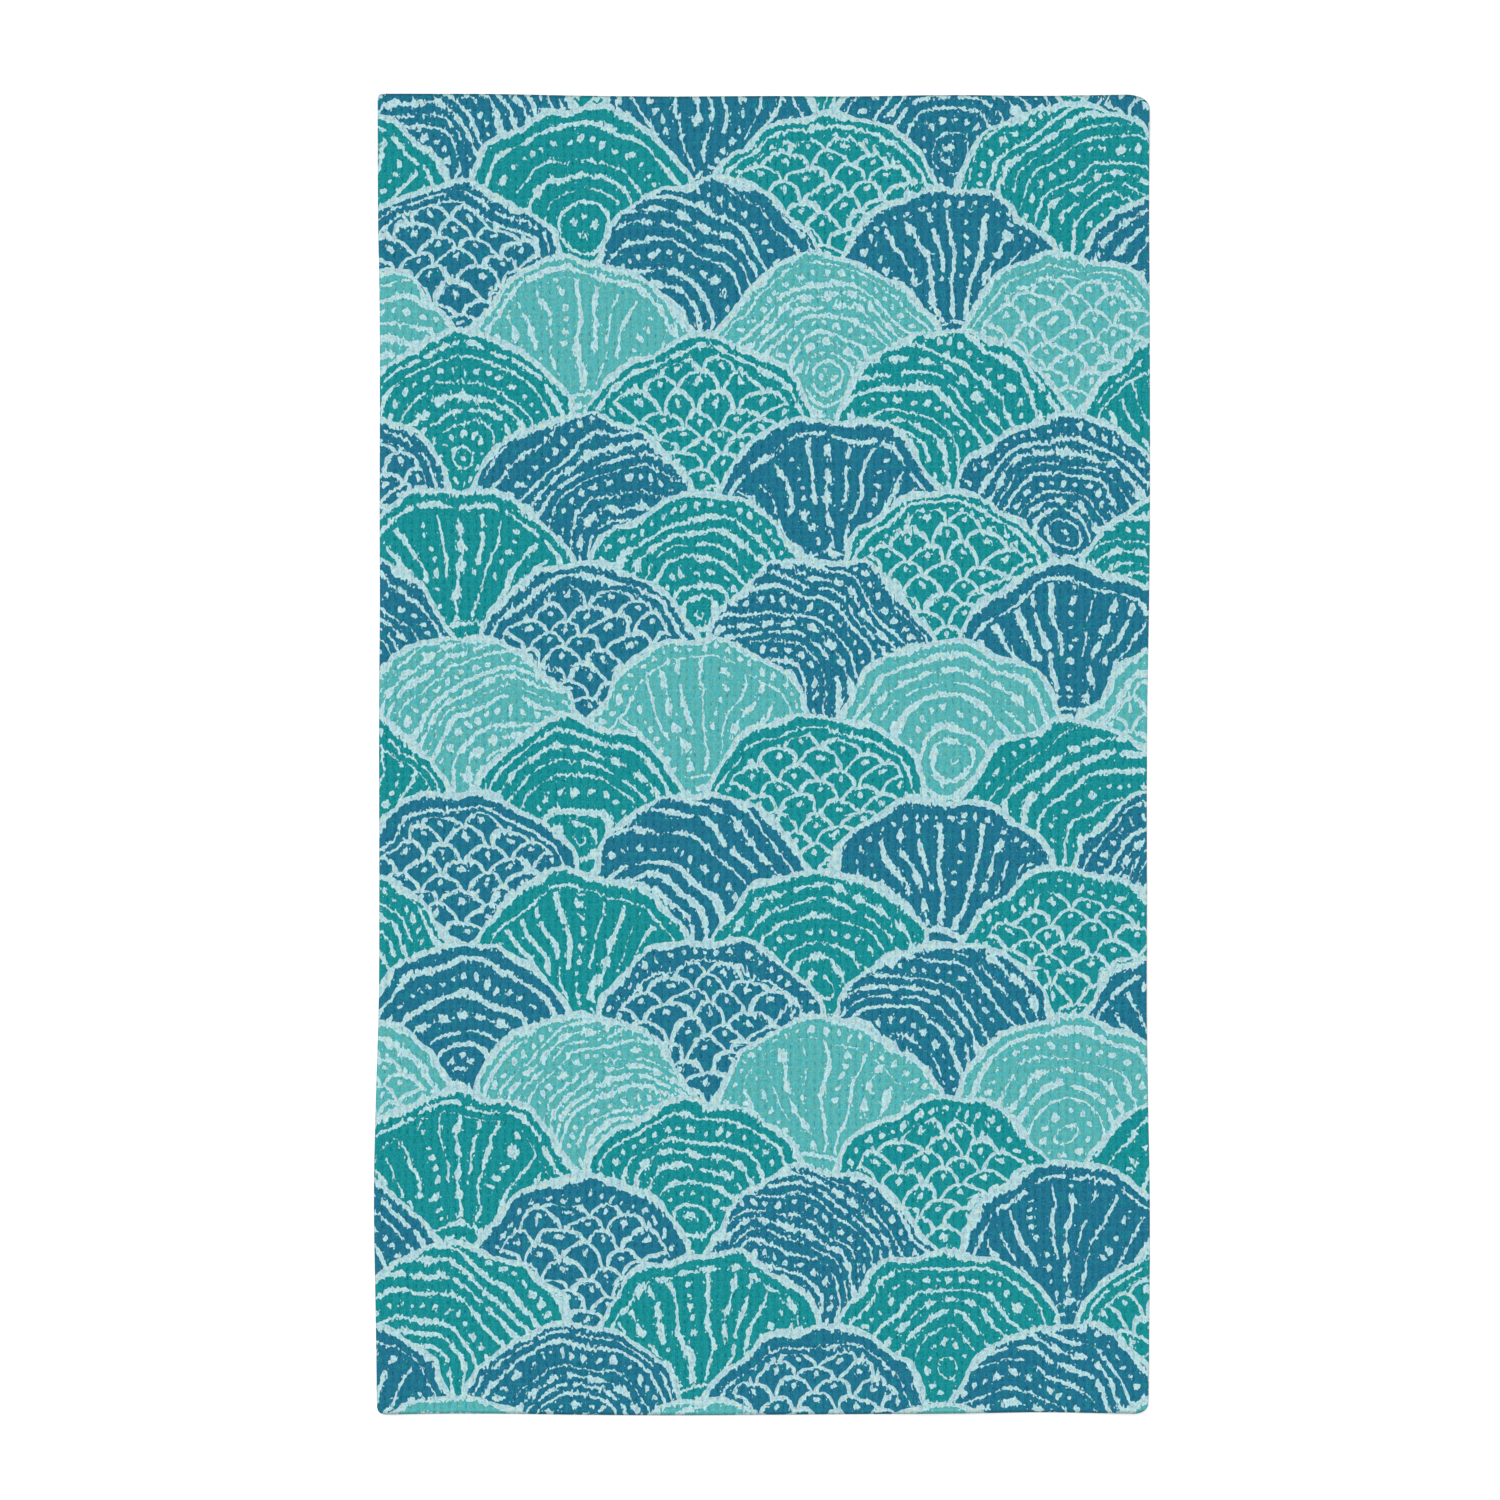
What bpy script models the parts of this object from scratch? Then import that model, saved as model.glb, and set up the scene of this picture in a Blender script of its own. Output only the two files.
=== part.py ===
"""A waffle-weave tea towel lying flat, face up: one sheet of cloth with a softly rolled edge.

Run it with: blender --background --python part.py
Sizes are in metres and +Z is up. The origin is at the middle of the towel's underside.
"""

import math
from typing import NamedTuple

import bmesh
import bpy

MM = 0.001

# Driving sizes of the cloth
WIDTH = 406 * MM
LENGTH = 695 * MM
THICKNESS = 2.0 * MM
EDGE_ROLL = 0.9 * MM
EDGE_ROLL_STEPS = 2

ROLL_MIN_ANGLE = math.radians(50)

# How closely the sheet is divided. The lines near an edge shape its round corners,
# and the first of them is further in than the edge's roll.
EDGE_LINES = [0.0, 1.7 * MM, 3.2 * MM, 5.0 * MM, 7.5 * MM, 10.0 * MM, 12.5 * MM]
FIELD_SPACING = 24 * MM

# The print's colours as they mix when seen from across a room
PRINT_COLOUR = (0.091, 0.386, 0.445, 1.0)
CLOTH_ROUGHNESS = 0.92


class SideBow(NamedTuple):
    """How far, in mm, the two long edges stand outwards at a height up the towel."""

    up: float
    left: float
    right: float


class EndBow(NamedTuple):
    """How far, in mm, the two short edges stand outwards at a place across the towel."""

    across: float
    lower: float
    upper: float


class Corner(NamedTuple):
    """A corner, 0 or 1 across and up the towel, and how far its round reaches along each edge, in mm."""

    across: int
    up: int
    reach_across: float
    reach_up: float


class Lift(NamedTuple):
    """A place where the edge stands off the surface: its centre, how far it spreads and its height, in mm."""

    across: float
    up: float
    spread: float
    height: float


SIDE_BOWS = [
    SideBow(up=0, left=0.7, right=-0.4),
    SideBow(up=60, left=1.6, right=0.4),
    SideBow(up=115, left=2.3, right=0.5),
    SideBow(up=165, left=1.4, right=-0.4),
    SideBow(up=215, left=-0.1, right=-1.2),
    SideBow(up=270, left=-0.4, right=-1.1),
    SideBow(up=370, left=-0.3, right=-0.8),
    SideBow(up=425, left=-0.8, right=0.1),
    SideBow(up=475, left=-0.7, right=0.6),
    SideBow(up=580, left=-0.6, right=0.5),
    SideBow(up=635, left=0.3, right=0.2),
    SideBow(up=695, left=0.4, right=0.3),
]
END_BOWS = [
    EndBow(across=0, lower=0.2, upper=0.8),
    EndBow(across=57, lower=-0.2, upper=0.8),
    EndBow(across=106, lower=0.4, upper=-0.1),
    EndBow(across=155, lower=0.7, upper=-0.7),
    EndBow(across=205, lower=0.4, upper=-0.3),
    EndBow(across=250, lower=0.1, upper=-0.5),
    EndBow(across=300, lower=-0.3, upper=0.2),
    EndBow(across=350, lower=-0.9, upper=-0.2),
    EndBow(across=406, lower=-0.2, upper=0.3),
]
CORNERS = [
    Corner(across=0, up=0, reach_across=4.5, reach_up=4.0),
    Corner(across=1, up=0, reach_across=8.0, reach_up=5.5),
    Corner(across=0, up=1, reach_across=3.0, reach_up=2.5),
    Corner(across=1, up=1, reach_across=12.5, reach_up=7.0),
]
LIFTS = [
    Lift(across=406, up=695, spread=62, height=1.8),
    Lift(across=0, up=695, spread=38, height=0.8),
    Lift(across=406, up=0, spread=55, height=1.4),
    Lift(across=0, up=0, spread=32, height=0.7),
    Lift(across=0, up=112, spread=70, height=1.2),
    Lift(across=406, up=240, spread=85, height=1.5),
    Lift(across=0, up=450, spread=90, height=1.1),
    Lift(across=155, up=695, spread=52, height=1.0),
    Lift(across=300, up=0, spread=48, height=0.9),
]


def clear_scene():
    """Removes what the startup file or an earlier run left."""
    for obj in list(bpy.data.objects):
        bpy.data.objects.remove(obj, do_unlink=True)


def smooth_between(places, values, at):
    """A smooth curve through values at places, read at one place."""
    last = len(places) - 1
    slopes = []
    for i in range(last + 1):
        before, after = max(i - 1, 0), min(i + 1, last)
        slopes.append((values[after] - values[before]) / (places[after] - places[before]))
    at = min(max(at, places[0]), places[last])
    i = max(k for k in range(last) if places[k] <= at)
    gap = places[i + 1] - places[i]
    t = (at - places[i]) / gap
    from_values = values[i] * (1 + 2 * t) * (1 - t) ** 2 + values[i + 1] * t**2 * (3 - 2 * t)
    from_slopes = slopes[i] * gap * t * (1 - t) ** 2 - slopes[i + 1] * gap * t**2 * (1 - t)
    return from_values + from_slopes


def grid_lines(size):
    """Distances from one edge to the other: close near both edges, evenly spaced between."""
    inner = EDGE_LINES[-1]
    count = round((size - 2 * inner) / FIELD_SPACING)
    step = (size - 2 * inner) / count
    field = [inner + step * i for i in range(1, count)]
    return EDGE_LINES + field + [size - line for line in reversed(EDGE_LINES)]


def round_corners(x, y):
    """Draws a point of the square-cornered sheet in, so that each corner ends in a round."""
    for corner in CORNERS:
        reach_x, reach_y = corner.reach_across * MM, corner.reach_up * MM
        corner_x, corner_y = corner.across * WIDTH, corner.up * LENGTH
        p = 1 - abs(x - corner_x) / reach_x
        q = 1 - abs(y - corner_y) / reach_y
        if p > 0 and q > 0:
            pull = max(p, q) / math.hypot(p, q)
            inwards_x, inwards_y = 1 - 2 * corner.across, 1 - 2 * corner.up
            x = corner_x + inwards_x * reach_x * (1 - p * pull)
            y = corner_y + inwards_y * reach_y * (1 - q * pull)
    return x, y


def bow_edges(x, y):
    """Moves a point with the uneven edges that are nearest to it."""
    ups = [bow.up * MM for bow in SIDE_BOWS]
    acrosses = [bow.across * MM for bow in END_BOWS]
    left = smooth_between(ups, [bow.left * MM for bow in SIDE_BOWS], y)
    right = smooth_between(ups, [bow.right * MM for bow in SIDE_BOWS], y)
    lower = smooth_between(acrosses, [bow.lower * MM for bow in END_BOWS], x)
    upper = smooth_between(acrosses, [bow.upper * MM for bow in END_BOWS], x)
    share_x, share_y = x / WIDTH, y / LENGTH
    return (
        x - left * (1 - share_x) + right * share_x,
        y - lower * (1 - share_y) + upper * share_y,
    )


def lift_at(x, y):
    """How far the cloth's underside stands off the surface at a point."""
    height = 0.0
    for lift in LIFTS:
        apart = math.hypot(x - lift.across * MM, y - lift.up * MM) / (lift.spread * MM)
        if apart < 1:
            height += lift.height * MM * (1 - apart**2) ** 2
    return height


def sheet_mesh():
    """The cloth's underside as a grid of quads, centred on the origin."""
    across, along = grid_lines(WIDTH), grid_lines(LENGTH)
    sheet = bmesh.new()
    rows = []
    for y_line in along:
        row = []
        for x_line in across:
            x, y = bow_edges(*round_corners(x_line, y_line))
            row.append(sheet.verts.new((x, y, lift_at(x, y))))
        rows.append(row)
    for lower, upper in zip(rows, rows[1:]):
        for i in range(len(across) - 1):
            sheet.faces.new((lower[i], lower[i + 1], upper[i + 1], upper[i]))
    for axis in (0, 1):
        ends = [vert.co[axis] for vert in sheet.verts]
        middle = (min(ends) + max(ends)) / 2
        for vert in sheet.verts:
            vert.co[axis] -= middle
    mesh = bpy.data.meshes.new("tea_towel")
    sheet.to_mesh(mesh)
    sheet.free()
    return mesh


def printed_cotton():
    """Matt printed cotton in the print's overall colour."""
    material = bpy.data.materials.new("printed_waffle_cotton")
    material.use_nodes = True
    shader = material.node_tree.nodes["Principled BSDF"]
    shader.inputs["Base Color"].default_value = PRINT_COLOUR
    shader.inputs["Roughness"].default_value = CLOTH_ROUGHNESS
    shader.inputs["Metallic"].default_value = 0.0
    return material


def make_towel():
    """The towel: the sheet given its thickness upwards, then its rim rolled over."""
    towel = bpy.data.objects.new("tea_towel", sheet_mesh())
    bpy.context.scene.collection.objects.link(towel)
    towel.data.materials.append(printed_cotton())
    thicken = towel.modifiers.new("Cloth thickness", "SOLIDIFY")
    thicken.thickness = THICKNESS
    thicken.offset = 1.0
    roll = towel.modifiers.new("Edge roll", "BEVEL")
    roll.width = EDGE_ROLL
    roll.segments = EDGE_ROLL_STEPS
    roll.use_clamp_overlap = False
    roll.limit_method = "ANGLE"
    roll.angle_limit = ROLL_MIN_ANGLE
    towel.data.shade_smooth()
    return towel


clear_scene()
make_towel()
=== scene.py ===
"""A printed waffle tea towel laid flat and face up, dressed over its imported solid.

Lengths are in metres and +Z is up, except where a name or a docstring says mm. The cloth is
one closed sheet: a lattice of waffle cells on both faces, joined by a rolled edge and laid to
the towel's slightly uneven outline. Its print is worked out from the cloth's own UV map.
"""

import logging
import math
from dataclasses import dataclass, fields
from enum import Enum
from typing import NamedTuple

import bpy
import numpy as np
from bpy.types import Material, Mesh, Node, NodeSocket, NodeTree, Object
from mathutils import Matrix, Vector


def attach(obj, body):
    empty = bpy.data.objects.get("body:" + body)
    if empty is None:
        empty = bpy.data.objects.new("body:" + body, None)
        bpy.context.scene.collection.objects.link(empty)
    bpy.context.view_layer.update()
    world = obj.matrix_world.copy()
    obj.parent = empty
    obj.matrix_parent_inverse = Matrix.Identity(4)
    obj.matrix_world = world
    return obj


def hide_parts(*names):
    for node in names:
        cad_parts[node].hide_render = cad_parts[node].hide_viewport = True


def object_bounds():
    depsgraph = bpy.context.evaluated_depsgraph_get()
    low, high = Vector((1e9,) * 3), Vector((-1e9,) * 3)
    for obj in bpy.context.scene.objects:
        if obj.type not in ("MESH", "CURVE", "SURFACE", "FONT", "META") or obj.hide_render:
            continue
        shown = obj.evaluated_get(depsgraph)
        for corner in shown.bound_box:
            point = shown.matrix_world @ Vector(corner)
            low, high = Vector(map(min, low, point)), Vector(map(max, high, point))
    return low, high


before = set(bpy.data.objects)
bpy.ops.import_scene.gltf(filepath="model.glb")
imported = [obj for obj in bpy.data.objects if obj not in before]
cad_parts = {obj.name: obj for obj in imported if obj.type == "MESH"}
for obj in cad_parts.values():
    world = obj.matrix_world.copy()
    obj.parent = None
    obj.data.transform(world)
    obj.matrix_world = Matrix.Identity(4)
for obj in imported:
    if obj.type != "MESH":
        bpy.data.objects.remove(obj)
CAD_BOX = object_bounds()
CAD_MIDDLE = np.mean(CAD_BOX, axis=0)

log = logging.getLogger("tea_towel")

MM = 0.001
BODY = "root"
SOLID = "tea_towel"
CLOTH_UV = "cloth"
BACK_MARK = "back"

FLOAT = "NodeSocketFloat"
VECTOR = "NodeSocketVector"
GEOMETRY = "NodeSocketGeometry"
MATERIAL = "NodeSocketMaterial"

# The side of the flat cloth that a point is on stands in for its height. The rim between is 0
FRONT_SIDE = 1.0
BACK_SIDE = -1.0

# Blender's noise keeps mostly within a quarter of its middle, so these bring it to -1 to 1
NOISE_MIDDLE = 0.5
NOISE_GAIN = 4.0

WHITE = (1.0, 1.0, 1.0, 1.0)
BLACK = (0.0, 0.0, 0.0, 1.0)
MATT = {"Specular IOR Level": 0.08, "Sheen Weight": 0.02, "Sheen Roughness": 0.6}

Rgb = tuple[int, int, int]
Span = tuple[float, float]


class SideBow(NamedTuple):
    """How far, in mm, the two long edges stand outwards at a height up the towel."""

    up: float
    left: float
    right: float


class EndBow(NamedTuple):
    """How far, in mm, the two short edges stand outwards at a place across the towel."""

    across: float
    lower: float
    upper: float


class Corner(NamedTuple):
    """A corner, 0 or 1 across and up the towel, and its round's reach along each edge, in mm."""

    across: int
    up: int
    reach_across: float
    reach_up: float


class Lift(NamedTuple):
    """Where the edge stands off the surface: the place's centre, its spread and its height, in mm."""

    across: float
    up: float
    spread: float
    height: float


class Sway(NamedTuple):
    """A drift over the cloth: one swing's length across and along it in mm, its seed and its reach."""

    across: float
    along: float
    seed: int
    reach: float = 1.0


class Tint(NamedTuple):
    """A second colour in patches: how they drift, where they start and are full, and their strength."""

    sway: Sway
    span: Span
    share: float
    colour: Rgb


SIDE_BOWS = [
    SideBow(up=0, left=0.7, right=-0.4),
    SideBow(up=60, left=1.6, right=0.4),
    SideBow(up=115, left=2.3, right=0.5),
    SideBow(up=165, left=1.4, right=-0.4),
    SideBow(up=215, left=-0.1, right=-1.2),
    SideBow(up=270, left=-0.4, right=-1.1),
    SideBow(up=370, left=-0.3, right=-0.8),
    SideBow(up=425, left=-0.8, right=0.1),
    SideBow(up=475, left=-0.7, right=0.6),
    SideBow(up=580, left=-0.6, right=0.5),
    SideBow(up=635, left=0.3, right=0.2),
    SideBow(up=695, left=0.4, right=0.3),
]
END_BOWS = [
    EndBow(across=0, lower=0.2, upper=0.8),
    EndBow(across=57, lower=-0.2, upper=0.8),
    EndBow(across=106, lower=0.4, upper=-0.1),
    EndBow(across=155, lower=0.7, upper=-0.7),
    EndBow(across=205, lower=0.4, upper=-0.3),
    EndBow(across=250, lower=0.1, upper=-0.5),
    EndBow(across=300, lower=-0.3, upper=0.2),
    EndBow(across=350, lower=-0.9, upper=-0.2),
    EndBow(across=406, lower=-0.2, upper=0.3),
]
CORNERS = [
    Corner(across=0, up=0, reach_across=4.5, reach_up=4.0),
    Corner(across=1, up=0, reach_across=8.0, reach_up=5.5),
    Corner(across=0, up=1, reach_across=3.0, reach_up=2.5),
    Corner(across=1, up=1, reach_across=12.5, reach_up=7.0),
]
LIFTS = [
    Lift(across=406, up=695, spread=62, height=1.8),
    Lift(across=0, up=695, spread=38, height=0.8),
    Lift(across=406, up=0, spread=55, height=1.4),
    Lift(across=0, up=0, spread=32, height=0.7),
    Lift(across=0, up=112, spread=70, height=1.2),
    Lift(across=406, up=240, spread=85, height=1.5),
    Lift(across=0, up=450, spread=90, height=1.1),
    Lift(across=155, up=695, spread=52, height=1.0),
    Lift(across=300, up=0, spread=48, height=0.9),
]


def linear(red: float, green: float, blue: float) -> tuple[float, float, float, float]:
    """Turns a colour as a screen shows it into the scene's linear values, by the sRGB rule.

    Args:
        red: Red, 0 to 255.
        green: Green, 0 to 255.
        blue: Blue, 0 to 255.

    Returns:
        Linear red, green and blue, and an alpha of 1.
    """
    parts = []
    for value in (red, green, blue):
        share = value / 255
        parts.append(share / 12.92 if share <= 0.04045 else ((share + 0.055) / 1.055) ** 2.4)
    return (*parts, 1.0)


def smooth_between(places: np.ndarray, values: np.ndarray, at: np.ndarray) -> np.ndarray:
    """Reads a smooth curve through values at places.

    Args:
        places: Where the values are, rising.
        values: The values.
        at: Where to read the curve.

    Returns:
        The curve's height at each place asked for.
    """
    last = len(places) - 1
    before = np.maximum(np.arange(last + 1) - 1, 0)
    after = np.minimum(np.arange(last + 1) + 1, last)
    slopes = (values[after] - values[before]) / (places[after] - places[before])
    at = np.clip(at, places[0], places[-1])
    i = np.clip(np.searchsorted(places, at, side="right") - 1, 0, last - 1)
    gap = places[i + 1] - places[i]
    t = (at - places[i]) / gap
    from_values = values[i] * (1 + 2 * t) * (1 - t) ** 2 + values[i + 1] * t**2 * (3 - 2 * t)
    from_slopes = slopes[i] * gap * t * (1 - t) ** 2 - slopes[i + 1] * gap * t**2 * (1 - t)
    return from_values + from_slopes


class Wire:
    """A value inside a node tree. Arithmetic on it adds the nodes that work it out."""

    def __init__(self, wiring: "Wiring", socket: NodeSocket) -> None:
        """Holds one output of a tree."""
        self.wiring = wiring
        self.socket = socket

    def __add__(self, other: "Number") -> "Wire":
        """This plus a number."""
        return self.wiring.math("ADD", self, other)

    def __sub__(self, other: "Number") -> "Wire":
        """This less a number."""
        return self.wiring.math("SUBTRACT", self, other)

    def __rsub__(self, other: "Number") -> "Wire":
        """A number less this."""
        return self.wiring.math("SUBTRACT", other, self)

    def __mul__(self, other: "Number") -> "Wire":
        """This times a number."""
        return self.wiring.math("MULTIPLY", self, other)

    def __truediv__(self, other: "Number") -> "Wire":
        """This divided by a number."""
        return self.wiring.math("DIVIDE", self, other)

    def __abs__(self) -> "Wire":
        """This without its sign."""
        return self.wiring.math("ABSOLUTE", self)

    def __gt__(self, other: "Number") -> "Wire":
        """1 where this is above a number, otherwise 0."""
        return self.wiring.math("GREATER_THAN", self, other)

    def rounded(self) -> "Wire":
        """The nearest whole number."""
        return self.wiring.math("ROUND", self)

    def wrapped(self, span: float) -> "Wire":
        """What is left above the last whole number of spans."""
        return self.wiring.math("FLOORED_MODULO", self, span)

    def fraction(self) -> "Wire":
        """What is left above the last whole number."""
        return self.wiring.math("FRACT", self)

    def near_whole(self) -> "Wire":
        """1 where this is a whole number, 0 midway between two."""
        return abs(self.fraction() * 2.0 - 1.0)


Number = Wire | float
Feed = Wire | float | tuple[float, ...] | Material
Feeds = dict[str | int, Feed]


class Wiring:
    """Adds nodes to one tree, sets them out in columns and joins them.

    The point of a tree that has one is the place on the flat cloth, in mm from its lower left corner.
    """

    COLUMN_ROWS = 10
    COLUMN_STEP = 190
    ROW_STEP = 170
    SEED_STEPS = (17.3, 9.1)

    def __init__(self, tree: NodeTree) -> None:
        """Starts on the tree that gets the nodes."""
        self.tree = tree
        self.point: Wire | None = None

    def node(self, kind: str, feeds: Feeds | None = None, **settings: object) -> Node:
        """Adds a node.

        Args:
            kind: The node's type.
            feeds: What its inputs take, by their names or numbers.
            settings: The node's own properties.

        Returns:
            The new node.
        """
        place = len(self.tree.nodes)
        node = self.tree.nodes.new(kind)
        node.location = (
            self.COLUMN_STEP * (place // self.COLUMN_ROWS),
            -self.ROW_STEP * (place % self.COLUMN_ROWS),
        )
        for name, value in settings.items():
            setattr(node, name, value)
        self.feed(node, feeds or {})
        return node

    def feed(self, node: Node, feeds: Feeds) -> None:
        """Joins wires to a node's inputs, or sets the inputs' own values.

        Args:
            node: The node.
            feeds: What its inputs take, by their names or numbers.
        """
        for key, value in feeds.items():
            if isinstance(value, Wire):
                self.tree.links.new(value.socket, node.inputs[key])
            else:
                node.inputs[key].default_value = value

    def outputs(self, node: Node) -> dict[str, Wire]:
        """A node's outputs, by their names."""
        return {output.name: Wire(self, output) for output in node.outputs}

    def wire(
        self, kind: str, feeds: Feeds | None = None, output: str | int = 0, **settings: object
    ) -> Wire:
        """Adds a node as node does, and gives one of its outputs by its name or number."""
        return Wire(self, self.node(kind, feeds, **settings).outputs[output])

    def math(self, operation: str, *values: Number) -> Wire:
        """Works out a number from others with one Math node."""
        return self.wire("ShaderNodeMath", dict(enumerate(values)), operation=operation)

    def vector_math(self, operation: str, *values: Feed) -> Wire:
        """Works out a vector from others with one Vector Math node."""
        return self.wire("ShaderNodeVectorMath", dict(enumerate(values)), operation=operation)

    def join(self, x: Number, y: Number, z: Number = 0.0) -> Wire:
        """A vector from its parts."""
        return self.wire("ShaderNodeCombineXYZ", {"X": x, "Y": y, "Z": z})

    def parts(self, vector: Wire) -> list[Wire]:
        """A vector's three parts."""
        return [*self.outputs(self.node("ShaderNodeSeparateXYZ", {"Vector": vector})).values()]

    def length(self, x: Number, y: Number) -> Wire:
        """The length of a flat vector from its two parts."""
        return self.wire("ShaderNodeVectorMath", {0: self.join(x, y)}, "Value", operation="LENGTH")

    def least(self, first: Number, second: Number) -> Wire:
        """The smaller of two numbers."""
        return self.math("MINIMUM", first, second)

    def most(self, first: Number, second: Number) -> Wire:
        """The larger of two numbers."""
        return self.math("MAXIMUM", first, second)

    def same(self, value: Wire, number: int) -> Wire:
        """1 where a value is a given whole number, otherwise 0."""
        return self.math("COMPARE", value, float(number), 0.5)

    def ramp(self, value: Number, start: Number, end: Number) -> Wire:
        """Rises smoothly from 0 where the value is at its start to 1 at its end."""
        feeds = {"Value": value, "From Min": start, "From Max": end}
        return self.wire("ShaderNodeMapRange", feeds, interpolation_type="SMOOTHSTEP")

    def sway(self, sway: Sway) -> Wire:
        """Works out a number that drifts over the cloth, mostly between minus its reach and its reach.

        Args:
            sway: How it drifts.

        Returns:
            The number at the tree's point.
        """
        scaled = self.vector_math("MULTIPLY", self.point, (1 / sway.across, 1 / sway.along, 1.0))
        start = (*(step * sway.seed for step in self.SEED_STEPS), 0.0)
        feeds = {"Vector": self.vector_math("ADD", scaled, start), "Scale": 1.0, "Detail": 0.0}
        noise = self.wire("ShaderNodeTexNoise", feeds, noise_dimensions="2D")
        return (noise - NOISE_MIDDLE) * (NOISE_GAIN * sway.reach)

    def chances(self, *key: Number) -> list[Wire]:
        """Three random numbers from 0 to 1 that are the same wherever the key's three numbers are."""
        feeds = {"Vector": self.join(*key)}
        return self.parts(self.wire("ShaderNodeTexWhiteNoise", feeds, "Color", noise_dimensions="3D"))

    def pick(self, share: Number, under: Number, over: Number) -> Wire:
        """Goes from one number to another as the share goes from 0 to 1."""
        return self.wire("ShaderNodeMix", {0: share, 2: under, 3: over}, data_type="FLOAT")

    def pick_vector(self, share: Number, under: Wire, over: Wire) -> Wire:
        """Goes from one vector to another as the share goes from 0 to 1."""
        return self.wire("ShaderNodeMix", {0: share, 4: under, 5: over}, 1, data_type="VECTOR")

    def paint(self, share: Number, under: Feed, over: Feed, how: str = "MIX") -> Wire:
        """Lays one colour over another by a share of 0 to 1, in one of Blender's ways of blending."""
        feeds = {0: share, 6: under, 7: over}
        return self.wire("ShaderNodeMix", feeds, 2, data_type="RGBA", blend_type=how)

    def use(self, group: NodeTree, feeds: Feeds) -> dict[str, Wire]:
        """Places a node group and gives its outputs, by their names."""
        return self.outputs(self.node("ShaderNodeGroup", feeds, node_tree=group))


class Group(Wiring):
    """A node group with named inputs and outputs."""

    def __init__(
        self, name: str, inputs: dict[str, str], outputs: dict[str, str], kind: str = "ShaderNodeTree"
    ) -> None:
        """Makes the group with its inputs ready to read.

        Args:
            name: The group's name.
            inputs: The type of each socket that it reads, by the socket's name.
            outputs: The type of each socket that it gives, by the socket's name.
            kind: Blender's type of tree.
        """
        super().__init__(bpy.data.node_groups.new(name, kind))
        for way, sockets in (("INPUT", inputs), ("OUTPUT", outputs)):
            for socket_name, socket_type in sockets.items():
                self.tree.interface.new_socket(socket_name, in_out=way, socket_type=socket_type)
        self.given = self.outputs(self.node("NodeGroupInput"))
        self.point = self.given.get("Point")
        self.sink = self.node("NodeGroupOutput")

    def give(self, **values: Feed) -> NodeTree:
        """Feeds the outputs, named with underscores for spaces, and gives the finished tree."""
        self.feed(self.sink, {name.replace("_", " "): value for name, value in values.items()})
        return self.tree


@dataclass(frozen=True)
class Outline:
    """The laid towel's nominal size, its uneven edges, round corners and small lifts."""

    width: float = 406 * MM
    length: float = 695 * MM

    def place(self, points: np.ndarray) -> np.ndarray:
        """Lays points of the flat cloth, from its lower left corner, to the towel's real outline."""
        x, y = self.bowed(*self.rounded(points[:, 0], points[:, 1]))
        return np.column_stack([x, y, points[:, 2] + self.lift(x, y)])

    def rounded(self, x: np.ndarray, y: np.ndarray) -> tuple[np.ndarray, np.ndarray]:
        """Draws points in so that each corner ends in a round.

        Args:
            x: How far across the towel each point is.
            y: How far up it is.

        Returns:
            Where they are then, across and up.
        """
        x, y = x.copy(), y.copy()
        for corner in CORNERS:
            reach_x, reach_y = corner.reach_across * MM, corner.reach_up * MM
            corner_x, corner_y = corner.across * self.width, corner.up * self.length
            p = 1 - np.abs(x - corner_x) / reach_x
            q = 1 - np.abs(y - corner_y) / reach_y
            near = (p > 0) & (q > 0)
            pull = np.maximum(p[near], q[near]) / np.hypot(p[near], q[near])
            x[near] = corner_x + (1 - 2 * corner.across) * reach_x * (1 - p[near] * pull)
            y[near] = corner_y + (1 - 2 * corner.up) * reach_y * (1 - q[near] * pull)
        return x, y

    def bowed(self, x: np.ndarray, y: np.ndarray) -> tuple[np.ndarray, np.ndarray]:
        """Moves points with the uneven edges, most with the edges that are nearest to them.

        Args:
            x: How far across the towel each point is.
            y: How far up it is.

        Returns:
            Where they are then, across and up.
        """
        ups, *sides = np.array(SIDE_BOWS).T * MM
        acrosses, *ends = np.array(END_BOWS).T * MM
        left, right = (smooth_between(ups, bow, y) for bow in sides)
        lower, upper = (smooth_between(acrosses, bow, x) for bow in ends)
        share_x, share_y = x / self.width, y / self.length
        return (
            x - left * (1 - share_x) + right * share_x,
            y - lower * (1 - share_y) + upper * share_y,
        )

    def lift(self, x: np.ndarray, y: np.ndarray) -> np.ndarray:
        """Finds how far the cloth's underside stands off the surface.

        Args:
            x: How far across the towel each point is.
            y: How far up it is.

        Returns:
            The height at each point.
        """
        height = np.zeros(len(x))
        for lift in LIFTS:
            apart = np.hypot(x - lift.across * MM, y - lift.up * MM) / (lift.spread * MM)
            height += np.where(apart < 1, lift.height * MM * (1 - apart**2) ** 2, 0.0)
        return height


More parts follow.
